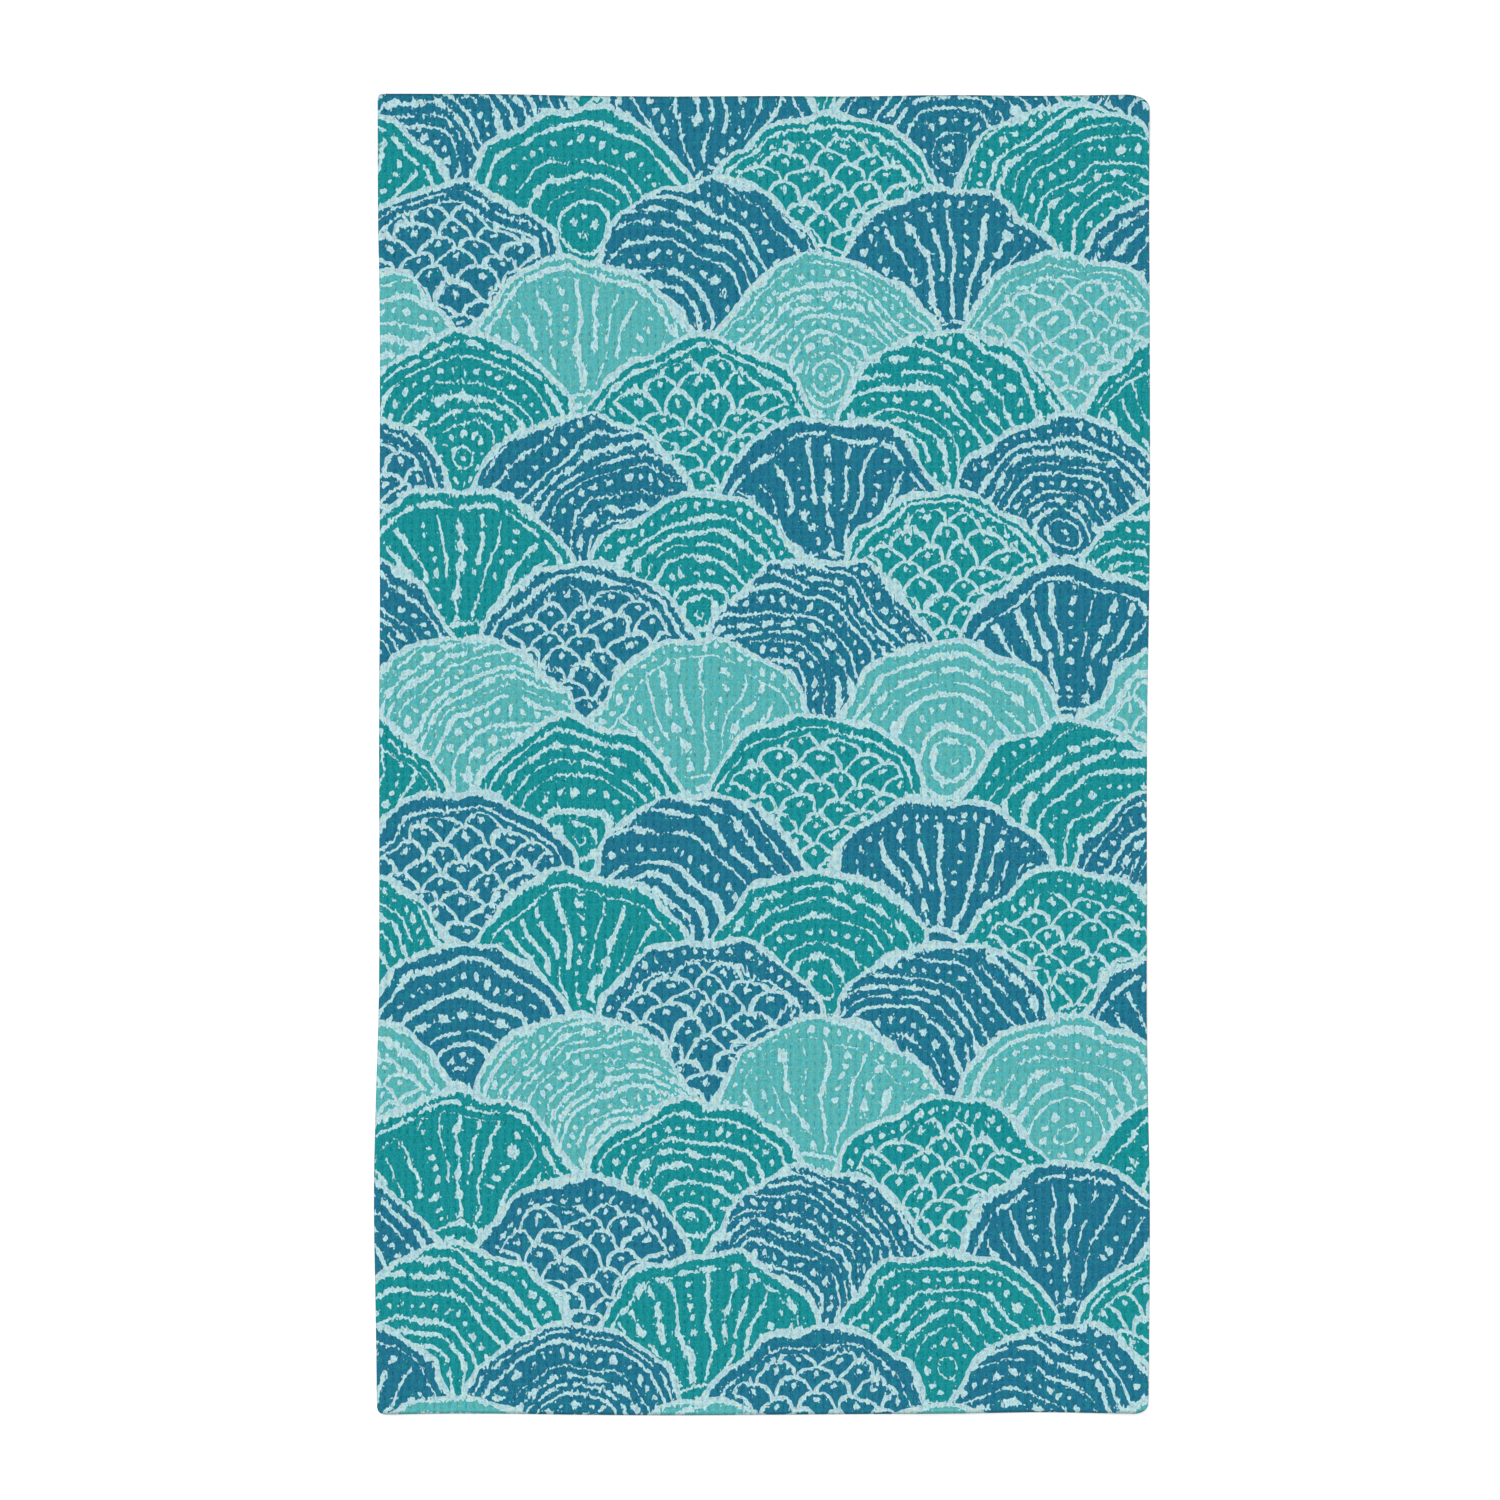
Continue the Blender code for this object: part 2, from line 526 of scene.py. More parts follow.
@dataclass(frozen=True)
class Waffle:
    """The waffle weave: its cells, its relief on both faces and how uneven it is.

    A scale is how many swings a drift has in a metre.
    """

    outline: Outline
    cells_across: int = 94
    cells_along: int = 153
    margin: float = 2.0 * MM
    margin_slack: float = 0.01 * MM
    rim_lines: tuple[float, ...] = (0.0, 0.3 * MM, 1.0 * MM)
    thickness: float = 2.0 * MM
    pit_depth: float = 0.7 * MM
    back_pit_depth: float = 0.45 * MM
    ridge_dip: float = 0.2
    roll_reach: float = 1.1 * MM
    unevenness: float = 0.1
    uneven_scale: float = 1 / (7 * MM)
    wander: float = 0.3 * MM
    wander_scale: float = 1 / (38 * MM)
    wander_starts: float = 2 * MM
    wander_full: float = 16 * MM
    seed: int = 11
    seed_step: float = 3.7

    @property
    def cell_across(self) -> float:
        """The width of one cell."""
        return (self.outline.width - 2 * self.margin) / self.cells_across

    @property
    def cell_along(self) -> float:
        """The length of one cell."""
        return (self.outline.length - 2 * self.margin) / self.cells_along

    def near_ridges(self, x: Wire, y: Wire) -> list[Wire]:
        """How near a place, in mm, is to a ridge across and along: 1 on it, 0 midway to the next."""
        cells = ((x, self.cell_across), (y, self.cell_along))
        return [((at - self.margin / MM) / (cell / MM)).near_whole() for at, cell in cells]

    def lines(self, size: float, cells: int) -> np.ndarray:
        """The front lattice's lines over one of the cloth's sides, two steps to a cell.

        Args:
            size: The side's length.
            cells: How many cells it has.

        Returns:
            Distances from the side's start, with the rim's own lines at both ends.
        """
        rim = np.array(self.rim_lines)
        lattice = np.linspace(self.margin, size - self.margin, 2 * cells + 1)
        return np.concatenate([rim, lattice, size - rim[::-1]])

    def sizes(self) -> dict[str, float]:
        """Gathers every number of the weave, and its cells' sizes, for the relief tree.

        Returns:
            The numbers, by the names of the inputs that take them.
        """
        numbers = [field.name for field in fields(self) if field.type in (int, float)]
        names = ["cell_across", "cell_along", *numbers]
        return {name.replace("_", " ").capitalize(): float(getattr(self, name)) for name in names}

    def relief_tree(self) -> NodeTree:
        """Builds the Geometry Nodes tree that gives a flat double lattice its relief on both faces.

        Returns:
            The tree.
        """
        lattice = {"Geometry": GEOMETRY}
        faces = {"Printed face": MATERIAL, "Plain face": MATERIAL}
        inputs = lattice | dict.fromkeys(self.sizes(), FLOAT) | faces
        group = Group("Waffle relief", inputs, lattice, "GeometryNodeTree")
        given = group.given
        position = group.wire("GeometryNodeInputPosition")
        x, y, side = group.parts(position)
        ridge_x, in_x = self.across_cell(group, x, given["Cell across"], given["Cells across"])
        ridge_y, in_y = self.across_cell(group, y, given["Cell along"], given["Cells along"])
        inset = group.least(in_x, in_y)
        dip = given["Ridge dip"]
        ridge = group.most(ridge_x, ridge_y) * (1.0 - dip) + group.least(ridge_x, ridge_y) * dip
        woven = inset > given["Margin"] - given["Margin slack"]
        past_rim = inset > given["Margin"] + given["Margin slack"]

        short = 1.0 - group.least(inset / given["Roll reach"], 1.0)
        roll = group.math("SQRT", group.most(1.0 - short * short, 0.0))
        half = given["Thickness"] * 0.5
        uneven = self.drift(group, position, given["Uneven scale"], 0) * given["Unevenness"] + 1.0
        front = half * (roll + 1.0) - given["Pit depth"] * (1.0 - ridge) * uneven * woven
        back = half * (1.0 - roll) + given["Back pit depth"] * ridge * past_rim
        height = group.pick(side > BACK_SIDE / 2, back, front)

        hold = group.ramp(inset, given["Wander starts"], given["Wander full"]) * given["Wander"]
        across = x + self.drift(group, position, given["Wander scale"], 1) * hold
        along = y + self.drift(group, position, given["Wander scale"], 2) * hold

        mapped = {"Geometry": given["Geometry"], "Name": CLOTH_UV, "Value": position}
        uv_map = {"data_type": "FLOAT2", "domain": "CORNER"}
        cloth = group.wire("GeometryNodeStoreNamedAttribute", mapped, **uv_map)
        moved = {"Geometry": cloth, "Position": group.join(across, along, height)}
        cloth = group.wire("GeometryNodeSetPosition", moved)
        cloth = group.wire("GeometryNodeRealizeInstances", {"Geometry": cloth})
        printed = {"Geometry": cloth, "Material": given["Printed face"]}
        cloth = group.wire("GeometryNodeSetMaterial", printed)
        marked = group.wire("GeometryNodeInputNamedAttribute", {"Name": BACK_MARK}, data_type="BOOLEAN")
        plain = {"Geometry": cloth, "Selection": marked, "Material": given["Plain face"]}
        return group.give(Geometry=group.wire("GeometryNodeSetMaterial", plain))

    def across_cell(self, group: Group, at: Wire, cell: Wire, cells: Wire) -> tuple[Wire, Wire]:
        """Reads the lattice in one direction.

        Args:
            group: The tree to add to.
            at: The place along that direction.
            cell: The cell's size in it.
            cells: How many cells there are.

        Returns:
            How near the place is to a ridge, 0 to 1, and its distance from the nearer edge.
        """
        margin = group.given["Margin"]
        turn = group.least(group.most((at - margin) / cell, 0.0), cells)
        size = cell * cells + margin * 2.0
        return turn.near_whole(), group.least(at, size - at)

    def drift(self, group: Group, position: Wire, scale: Wire, turn: int) -> Wire:
        """A number that drifts over the cloth, mostly between -1 and 1.

        Args:
            group: The tree to add to.
            position: The place.
            scale: How many swings there are in a metre.
            turn: Which of the seed's drifts this is.

        Returns:
            The drifting number.
        """
        seed = group.given["Seed"] + group.given["Seed step"] * turn
        feeds = {"Vector": position, "W": seed, "Scale": scale, "Detail": 1.0}
        noise = group.wire("ShaderNodeTexNoise", feeds, noise_dimensions="4D")
        return (noise - NOISE_MIDDLE) * NOISE_GAIN

    def weave(self, cloth: Object, printed: Material, plain: Material) -> None:
        """Gives a flat cloth its relief and its materials, as a plain mesh.

        Args:
            cloth: The flat double lattice.
            printed: The material of its upper face and rim.
            plain: The material of its underside.
        """
        values = {**self.sizes(), "Printed face": printed, "Plain face": plain}
        relief = cloth.modifiers.new("Waffle relief", "NODES")
        relief.node_group = self.relief_tree()
        for item in relief.node_group.interface.items_tree:
            if item.in_out == "INPUT" and item.name in values:
                relief[item.identifier] = values[item.name]
        evaluated = cloth.evaluated_get(bpy.context.evaluated_depsgraph_get())
        woven = bpy.data.meshes.new_from_object(evaluated)
        cloth.modifiers.remove(relief)
        cloth.data = woven


@dataclass(frozen=True)
class Cloth:
    """The towel's one piece of cloth, a closed sheet with a waffle lattice on each face."""

    outline: Outline
    waffle: Waffle
    name: str = "waffle_towel"

    def build(self, printed: Material, plain: Material) -> Object:
        """Makes, weaves and lays the cloth, and ties it to the frame.

        Args:
            printed: The material of its upper face and rim.
            plain: The material of its underside.

        Returns:
            The finished piece.
        """
        cloth = bpy.data.objects.new(self.name, self.blank())
        bpy.context.scene.collection.objects.link(cloth)
        self.waffle.weave(cloth, printed, plain)
        self.lay(cloth.data)
        cloth.data.shade_smooth()
        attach(cloth, BODY)
        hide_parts(SOLID)
        return cloth

    def blank(self) -> Mesh:
        """The flat cloth before it is woven: two lattices that share their rim.

        Each point's height is only its side of the cloth. The front has two steps to a cell each way.
        The back has one, with a point in each cell's middle.

        Returns:
            The mesh, with the back's faces marked.
        """
        waffle, outline = self.waffle, self.outline
        front_x = waffle.lines(outline.width, waffle.cells_across)
        front_y = waffle.lines(outline.length, waffle.cells_along)
        grid_x, grid_y = np.meshgrid(front_x, front_y)
        side = np.zeros(grid_x.shape)
        side[1:-1, 1:-1] = FRONT_SIDE
        front = np.stack([grid_x, grid_y, side], axis=-1)
        numbers = np.arange(side.size).reshape(side.shape)
        corners = [numbers[:-1, :-1], numbers[:-1, 1:], numbers[1:, 1:], numbers[1:, :-1]]
        front_faces = np.stack(corners, axis=-1).reshape(-1, 4).tolist()

        keep_x, keep_y = self.back_lines(len(front_x)), self.back_lines(len(front_y))
        kept = np.ix_(keep_y, keep_x)
        back = front[kept][1:-1, 1:-1] * (1, 1, BACK_SIDE)
        back_numbers = numbers[kept]
        back_numbers[1:-1, 1:-1] = side.size + np.arange(back[..., 0].size).reshape(back.shape[:2])
        points = [*front.reshape(-1, 3), *back.reshape(-1, 3)]

        back_x, back_y = front_x[keep_x], front_y[keep_y]
        rim, last_x, last_y = len(waffle.rim_lines), len(keep_x) - 1, len(keep_y) - 1
        back_faces = []
        for j, i in np.ndindex(last_y, last_x):
            ring = back_numbers[[j, j + 1, j + 1, j], [i, i, i + 1, i + 1]].tolist()
            edges = list(zip(ring, ring[1:] + ring[:1]))
            if rim <= i < last_x - rim and rim <= j < last_y - rim:
                back_faces += [[a, b, len(points)] for a, b in edges]
                middle_x, middle_y = back_x[i : i + 2].mean(), back_y[j : j + 2].mean()
                points.append((middle_x, middle_y, BACK_SIDE))
                continue
            face = []
            for a, b in edges:
                face.append(a)
                # Two rim points that are two of the front's steps apart have one between them
                if max(a, b) < side.size and abs(a - b) in (2, 2 * len(front_x)):
                    face.append((a + b) // 2)
            back_faces.append(face)

        mesh = bpy.data.meshes.new(self.name)
        mesh.from_pydata(np.array(points).tolist(), [], front_faces + back_faces)
        mark = mesh.attributes.new(BACK_MARK, "BOOLEAN", "FACE")
        mark.data.foreach_set("value", [False] * len(front_faces) + [True] * len(back_faces))
        return mesh

    def back_lines(self, count: int) -> list[int]:
        """Which of the front's lines the back has: all the rim's and every second one between them."""
        rim = len(self.waffle.rim_lines)
        return [*range(rim), *range(rim, count - rim, 2), *range(count - rim, count)]

    def lay(self, mesh: Mesh) -> None:
        """Moves the woven cloth to the towel's real outline, centred on the solid.

        Args:
            mesh: The cloth's mesh.
        """
        flat = np.zeros(len(mesh.vertices) * 3)
        mesh.vertices.foreach_get("co", flat)
        laid = self.outline.place(flat.reshape(-1, 3))
        laid[:, :2] += CAD_MIDDLE[:2] - (laid[:, :2].min(axis=0) + laid[:, :2].max(axis=0)) / 2
        mesh.vertices.foreach_set("co", laid.ravel())
        mesh.update()


@dataclass(frozen=True)
class Threads:
    """The cotton threads that show on a face: their height for bump and their uneven tone."""

    waffle: Waffle
    pitch_mm: float = 0.43
    warp_bend: Sway = Sway(3.0, 9.0, 1, 0.8)
    weft_bend: Sway = Sway(9.0, 3.0, 2, 0.8)
    crossing: Span = (-0.08, 0.08)
    crest_span: Span = (0.5, 0.95)
    crest: float = 3.0
    fuzz: Sway = Sway(0.9, 0.9, 3, 0.5)
    loops: Sway = Sway(0.85, 1.0, 4, 0.8)
    streaks: Sway = Sway(0.8, 5.0, 5, 0.35)
    slubs: Sway = Sway(4.0, 0.8, 6, 0.25)

    def group(self) -> NodeTree:
        """Makes the shader group. It takes a place in mm and gives the threads' height, nap and tone.

        The height is about -1 to 1 in a cell and higher on its ridges. The nap is the threads alone,
        -1 between them and 1 on top. The tone is about -1 to 1.

        Returns:
            The group.
        """
        outputs = dict.fromkeys(["Height", "Nap", "Tone"], FLOAT)
        group = Group("Cotton threads", {"Point": VECTOR}, outputs)
        x, y, _ = group.parts(group.point)
        ridge_x, ridge_y = self.waffle.near_ridges(x, y)
        turn = 2 * math.pi / self.pitch_mm
        warp = group.math("SINE", x * turn + group.sway(self.warp_bend))
        weft = group.math("SINE", y * turn + group.sway(self.weft_bend))
        nap = group.pick(group.ramp(ridge_x - ridge_y, *self.crossing), weft, warp)
        crests = group.ramp(group.most(ridge_x, ridge_y), *self.crest_span) * self.crest
        height = nap + group.sway(self.fuzz) + crests
        tone = group.sway(self.loops) + group.sway(self.slubs) + group.sway(self.streaks)
        return group.give(Height=height, Nap=nap, Tone=tone)


@dataclass(frozen=True)
class CellShade:
    """The shade between the waffle's upright ribs, darkest in a short dash in each cell's middle.

    Each span is of the nearness to a ridge, from where the shade starts to where it is full.
    """

    waffle: Waffle
    bend_across: Sway = Sway(9, 7, 7, 0.25)
    bend_along: Sway = Sway(7, 9, 8, 0.25)
    valley_across: Span = (0.9, 0.0)
    valley_along: Span = (1.0, 0.3)
    valley_least: float = 0.6
    valley_depth: float = 0.5
    dash_across: Span = (0.24, 0.05)
    dash_along: Span = (0.5, 0.3)
    dash_sway: Sway = Sway(4.3, 4.5, 9, 0.8)
    dash_middle: float = 0.6
    dash_depth: float = 1.3

    def group(self) -> NodeTree:
        """Makes the shader group. It takes a place in mm and gives the shade, 0 to about 1.

        Returns:
            The group.
        """
        group = Group("Waffle shade", {"Point": VECTOR}, {"Shade": FLOAT})
        x, y, _ = group.parts(group.point)
        across, along = x + group.sway(self.bend_across), y + group.sway(self.bend_along)
        ridge_x, ridge_y = self.waffle.near_ridges(across, along)
        full = group.ramp(ridge_y, *self.valley_along) * (1 - self.valley_least) + self.valley_least
        valley = group.ramp(ridge_x, *self.valley_across) * full
        dash = group.ramp(ridge_x, *self.dash_across) * group.ramp(ridge_y, *self.dash_along)
        strength = group.most(group.sway(self.dash_sway) + self.dash_middle, 0.0)
        return group.give(Shade=valley * self.valley_depth + dash * strength * self.dash_depth)


@dataclass(frozen=True)
class RimShade:
    """The shade where the cloth's edge rolls under, deeper along its two ends than along its sides."""

    outline: Outline
    start_mm: float = 0.2
    end_reach_mm: float = 2.2
    side_reach_mm: float = 1.0
    side_share: float = 0.3

    def group(self) -> NodeTree:
        """Makes the shader group. It takes a place in mm and gives the shade, 0 to 1.

        Returns:
            The group.
        """
        group = Group("Rim shade", {"Point": VECTOR}, {"Shade": FLOAT})
        x, y, _ = group.parts(group.point)
        from_side = group.least(x, self.outline.width / MM - x)
        from_end = group.least(y, self.outline.length / MM - y)
        ends = group.ramp(from_end, self.end_reach_mm, self.start_mm)
        sides = group.ramp(from_side, self.side_reach_mm, self.start_mm) * self.side_share
        return group.give(Shade=group.most(ends, sides))


class Band(Enum):
    """The grounds of the print's bands, as a screen shows them."""

    BLUE = (34, 116, 143)
    TEAL = (25, 143, 148)
    AQUA = (89, 180, 181)


class Motif(Enum):
    """How a scallop is filled."""

    RINGS = 0
    FAN = 1
    SLANTED_RINGS = 2
    SCALES = 3


class Stroke(Enum):
    """The kinds of stroke that fill a scallop, in the order in which they take turns."""

    LINE = 0
    DOTS = 1
    PLAIN_LINE = 2
    BEADS = 3
    BROKEN_LINE = 4


class Draw(Enum):
    """What a random draw is for, as the last number of its key."""

    DISC_PLACE = 1.0
    SCALLOP = 2.0
    STROKE_WIDTH = 3.0


@dataclass(frozen=True)
class Hand:
    """The unsteadiness of the printed drawing: slow bends, small bends and jagged upright spikes."""

    bends_across: tuple[Sway, Sway] = (Sway(26, 26, 11, 2.4), Sway(7, 7, 12, 0.45))
    bends_along: tuple[Sway, Sway] = (Sway(26, 26, 13, 2.4), Sway(7, 7, 14, 0.45))
    rough: Sway = Sway(22, 14, 15)
    rough_span: Span = (-1.0, 0.6)
    least_rough: float = 0.3
    spike: Sway = Sway(1.9, 4.0, 16)
    spike_mm: float = 0.75

    def group(self) -> NodeTree:
        """Makes the shader group. It takes a place in mm and gives the place that is drawn there.

        Returns:
            The group.
        """
        group = Group("Unsteady hand", {"Point": VECTOR}, {"Point": VECTOR})
        x, y, _ = group.parts(group.point)
        for across, along in zip(self.bends_across, self.bends_along):
            x = x + group.sway(across)
            y = y + group.sway(along)
        rough = group.ramp(group.sway(self.rough), *self.rough_span)
        roughness = rough * (1 - self.least_rough) + self.least_rough
        spike = group.sway(self.spike)
        return group.give(Point=group.join(x, y + spike * abs(spike) * roughness * self.spike_mm))


@dataclass(frozen=True)
class Imbrication:
    """Discs in staggered rows, each row over the one above it. Sizes are in mm."""

    radius: float
    row_step: float
    shift: float

    def front(self, group: Group, row_tree: NodeTree, from_first: Wire) -> tuple[Wire, Wire]:
        """Finds the disc that shows at a place, out of the three rows that reach it.

        Args:
            group: The tree to add to.
            row_tree: The shader group of one row.
            from_first: The place, from the middle of row 0's first disc.

        Returns:
            The place from that disc's middle, with its depth inside the rim as the third part, and
            the disc's column and row.
        """
        _, up, _ = group.parts(from_first)
        nearest = group.math("CEIL", up / -self.row_step)
        feeds = {
            "From first": from_first,
            "Radius": self.radius,
            "Row step": self.row_step,
            "Shift": self.shift,
        }
        behind = group.use(row_tree, {"Row": nearest - 1.0, **feeds})
        place, disc = behind["Place"], behind["Disc"]
        for ahead in (0.0, 1.0):
            row = group.use(row_tree, {"Row": nearest + ahead, **feeds})
            shows = group.parts(row["Place"])[2] > 0.0
            place = group.pick_vector(shows, place, row["Place"])
            disc = group.pick_vector(shows, disc, row["Disc"])
        return place, disc


def disc_row_tree() -> NodeTree:
    """Makes the shader group for one row of discs.

    It takes a place, from the middle of row 0's first disc, a row's number and the discs' sizes.
    It gives the place from the middle of the row's nearest disc, with its depth inside the rim as
    the third part, and that disc's column and row.

    Returns:
        The group.
    """
    numbers = ["Row", "Radius", "Row step", "Shift"]
    inputs = {"From first": VECTOR, **dict.fromkeys(numbers, FLOAT)}
    group = Group("Disc row", inputs, {"Place": VECTOR, "Disc": VECTOR})
    x, y, _ = group.parts(group.given["From first"])
    row, radius, row_step, shift = (group.given[name] for name in numbers)
    across_row = x - row.wrapped(2.0) * radius
    column = (across_row / (radius * 2.0)).rounded()
    chance_x, chance_y, _ = group.chances(column, row, Draw.DISC_PLACE.value)
    across = across_row - column * radius * 2.0 + (chance_x * 2.0 - 1.0) * shift
    up = y + row * row_step + (chance_y * 2.0 - 1.0) * shift
    depth = radius - group.length(across, up)
    return group.give(Place=group.join(across, up, depth), Disc=group.join(column, row))


class Track(NamedTuple):
    """Where a place is against strokes: the nearest one's number, and how far beside and along it."""

    number: Wire
    beside: Wire
    along: Wire

    def or_where(self, share: Wire, other: "Track") -> "Track":
        """Another track where the share is 1, and this one where it is 0."""
        return Track(*(own.wiring.pick(share, own, theirs) for own, theirs in zip(self, other)))


@dataclass(frozen=True)
class Strokes:
    """The strokes that fill a scallop: lines, dots, beads and broken lines. Sizes are in mm."""

    half_width: float = 0.85
    width_sway: Sway = Sway(12, 12, 21, 0.35)
    width_chance: float = 1.1
    gaps: Sway = Sway(15, 15, 22)
    gap_start: float = 0.9
    gap_depth: float = 1.5
    dash_step: float = 24.0
    dash_half_share: float = 0.4
    dash_end_slope: float = 22.0
    dot_step: float = 6.8
    dot_shift: float = 1.5
    dot_least: float = 0.85
    dot_spread: float = 1.1
    bead_step: float = 12.5
    bead_radius: float = 1.75
    bead_stretch: float = 2.1
    bead_taper: float = 0.09
    bead_thread: float = 0.2

    def group(self) -> NodeTree:
        """Makes the shader group of one stroke.

        It takes a stroke's number, how far the place is beside and along it, the scallop's own
        number, the boldness and the plain place. It gives the distance from the stroke, below 0
        inside it.

        Returns:
            The group.
        """
        numbers = ["Number", "Beside", "Along", "Scallop", "Boldness"]
        inputs = {**dict.fromkeys(numbers, FLOAT), "Point": VECTOR}
        group = Group("Drawn stroke", inputs, {"Distance": FLOAT})
        number, beside, along, scallop, boldness = (group.given[name] for name in numbers)
        chance = group.chances(number, scallop, Draw.STROKE_WIDTH.value)[0] - 0.5
        half_width = group.sway(self.width_sway) + self.half_width + chance * self.width_chance
        gaps = group.most(group.sway(self.gaps) - self.gap_start, 0.0) * self.gap_depth
        line = abs(beside) - (half_width * boldness - gaps)

        from_dash = abs((along / self.dash_step).fraction() - 0.5)
        broken = line + group.most(from_dash - self.dash_half_share, 0.0) * self.dash_end_slope

        dot = (along / self.dot_step).rounded()
        size, shift_along, shift_beside = group.chances(number, dot, scallop)
        dot_along = along - dot * self.dot_step + (shift_along - 0.5) * self.dot_shift
        dot_beside = beside + (shift_beside - 0.5) * self.dot_shift
        dots = group.length(dot_along, dot_beside) - (size * self.dot_spread + self.dot_least)

        bead_along = along - (along / self.bead_step).rounded() * self.bead_step
        narrowed = beside * (bead_along * self.bead_taper + 1.0)
        bead = group.length(bead_along / self.bead_stretch, narrowed) - self.bead_radius
        beads = group.least(bead, line + self.bead_thread)

        style = (number + (scallop * len(Stroke)).rounded()).wrapped(float(len(Stroke)))
        distance = line
        for stroke, drawn in ((Stroke.DOTS, dots), (Stroke.BEADS, beads), (Stroke.BROKEN_LINE, broken)):
            distance = group.pick(group.same(style, stroke.value), distance, drawn)
        return group.give(Distance=distance)


@dataclass(frozen=True)
class Scallops:
    """A print of staggered scallops in bands, each filled with rings, a fan or small scales.

    Sizes are in mm, and angles in radians.
    """

    hand: Hand = Hand()
    strokes: Strokes = Strokes()
    scallop: Imbrication = Imbrication(radius=64.0, row_step=40.0, shift=3.5)
    scale: Imbrication = Imbrication(radius=11.0, row_step=8.2, shift=0.8)
    first_disc: tuple[float, float, float] = (-21.0, 705.0, 0.0)
    bands: tuple[Band, ...] = (Band.TEAL, Band.BLUE, Band.TEAL, Band.BLUE, Band.AQUA)
    outline: float = 3.2
    outline_sway: Sway = Sway(13, 13, 23, 0.9)
    filling_starts: float = 12.5
    stroke_step: float = 7.5
    least_coarse: float = 0.65
    coarse_spread: float = 0.5
    aqua_boldness: float = 0.25
    slant_across: float = 27.0
    slant_down: float = 12.0
    slant_reach: float = 18.0
    fan_pivot: float = 30.0
    fan_angle: float = 0.14
    fan_base: float = 22.0
    fan_splits: float = 44.0
    scale_rim: float = 2.0
    scale_dot: float = 1.5
    fray: Sway = Sway(1.5, 2.6, 24, 0.4)
    crumbs: Sway = Sway(1.5, 2.2, 26)
    crumb_span: Span = (0.9, 1.3)
    crumb_size: float = 1.3
    softness: float = 0.18
    nap_reach: float = 0.12
    edge_span: Span = (-1.0, -0.4)
    close_span: Span = (1.6, 0.3)

    def rings(self, group: Group, across: Wire, up: Wire, first: Number, step: Number) -> Track:
        """Measures a place against rings.

        Args:
            group: The tree to add to.
            across: How far across the place is from the rings' middle.
            up: How far up it is from there.
            first: The radius of ring number 0.
            step: How much smaller each further ring is.

        Returns:
            Where the place is against them.
        """
        turns = (first - group.length(across, up)) / step
        number = turns.rounded()
        along = group.math("ARCTAN2", across, up) * (first - number * step)
        return Track(number, (turns - number) * step, along)

    def fan(self, group: Group, across: Wire, up: Wire) -> Track:
        """Measures a place against a fan's ribs and the arcs at its foot.

        Args:
            group: The tree to add to.
            across: How far across the place is from the scallop's middle.
            up: How far up it is from there.

        Returns:
            Where the place is against them.
        """
        above = up + self.fan_pivot
        reach = group.length(across, above)
        doubled = 2.0 - (reach > self.fan_splits)
        angle = doubled * self.fan_angle
        turns = group.math("ARCTAN2", across, above) / angle
        number = turns.rounded()
        ribs = Track(number * doubled, (turns - number) * angle * reach, reach)
        arcs = self.rings(group, across, above, self.fan_base, self.stroke_step)
        at_foot = group.math("LESS_THAN", reach, self.fan_base + self.stroke_step / 3)
        return ribs.or_where(at_foot, arcs)

    def scales(self, group: Group, row_tree: NodeTree, across: Wire, up: Wire) -> Wire:
        """Measures a place against small scales.

        Args:
            group: The tree to add to.
            row_tree: The shader group of one row of discs.
            across: How far across the place is from the scallop's middle.
            up: How far up it is from there.

        Returns:
            The distance from their rims and dots, below 0 inside them.
        """
        place, _ = self.scale.front(group, row_tree, group.join(across, up))
        side, above, depth = group.parts(place)
        dot = group.length(side, above - self.scale.radius / 2) - self.scale_dot
        return group.least(depth - self.scale_rim, dot)

    def group(self) -> NodeTree:
        """Makes the shader group of the whole print.

        It takes a place in mm and the threads' nap there. It gives the band's number, the pale
        drawing's mask, a mask of the drawing's lighter edges, and one of the ground close to it.

        Returns:
            The group.
        """
        outputs = dict.fromkeys(["Band", "Drawing", "Edge", "Beside drawing"], FLOAT)
        group = Group("Scallop print", {"Point": VECTOR, "Nap": FLOAT}, outputs)
        row_tree = disc_row_tree()
        drawn_point = group.use(self.hand.group(), {"Point": group.point})["Point"]
        from_first = group.vector_math("SUBTRACT", drawn_point, self.first_disc)
        place, disc = self.scallop.front(group, row_tree, from_first)
        across, up, depth = group.parts(place)
        column, row, _ = group.parts(disc)
        band = row.wrapped(float(len(self.bands)))
        chance, side_chance, step_chance = group.chances(column, row, Draw.SCALLOP.value)

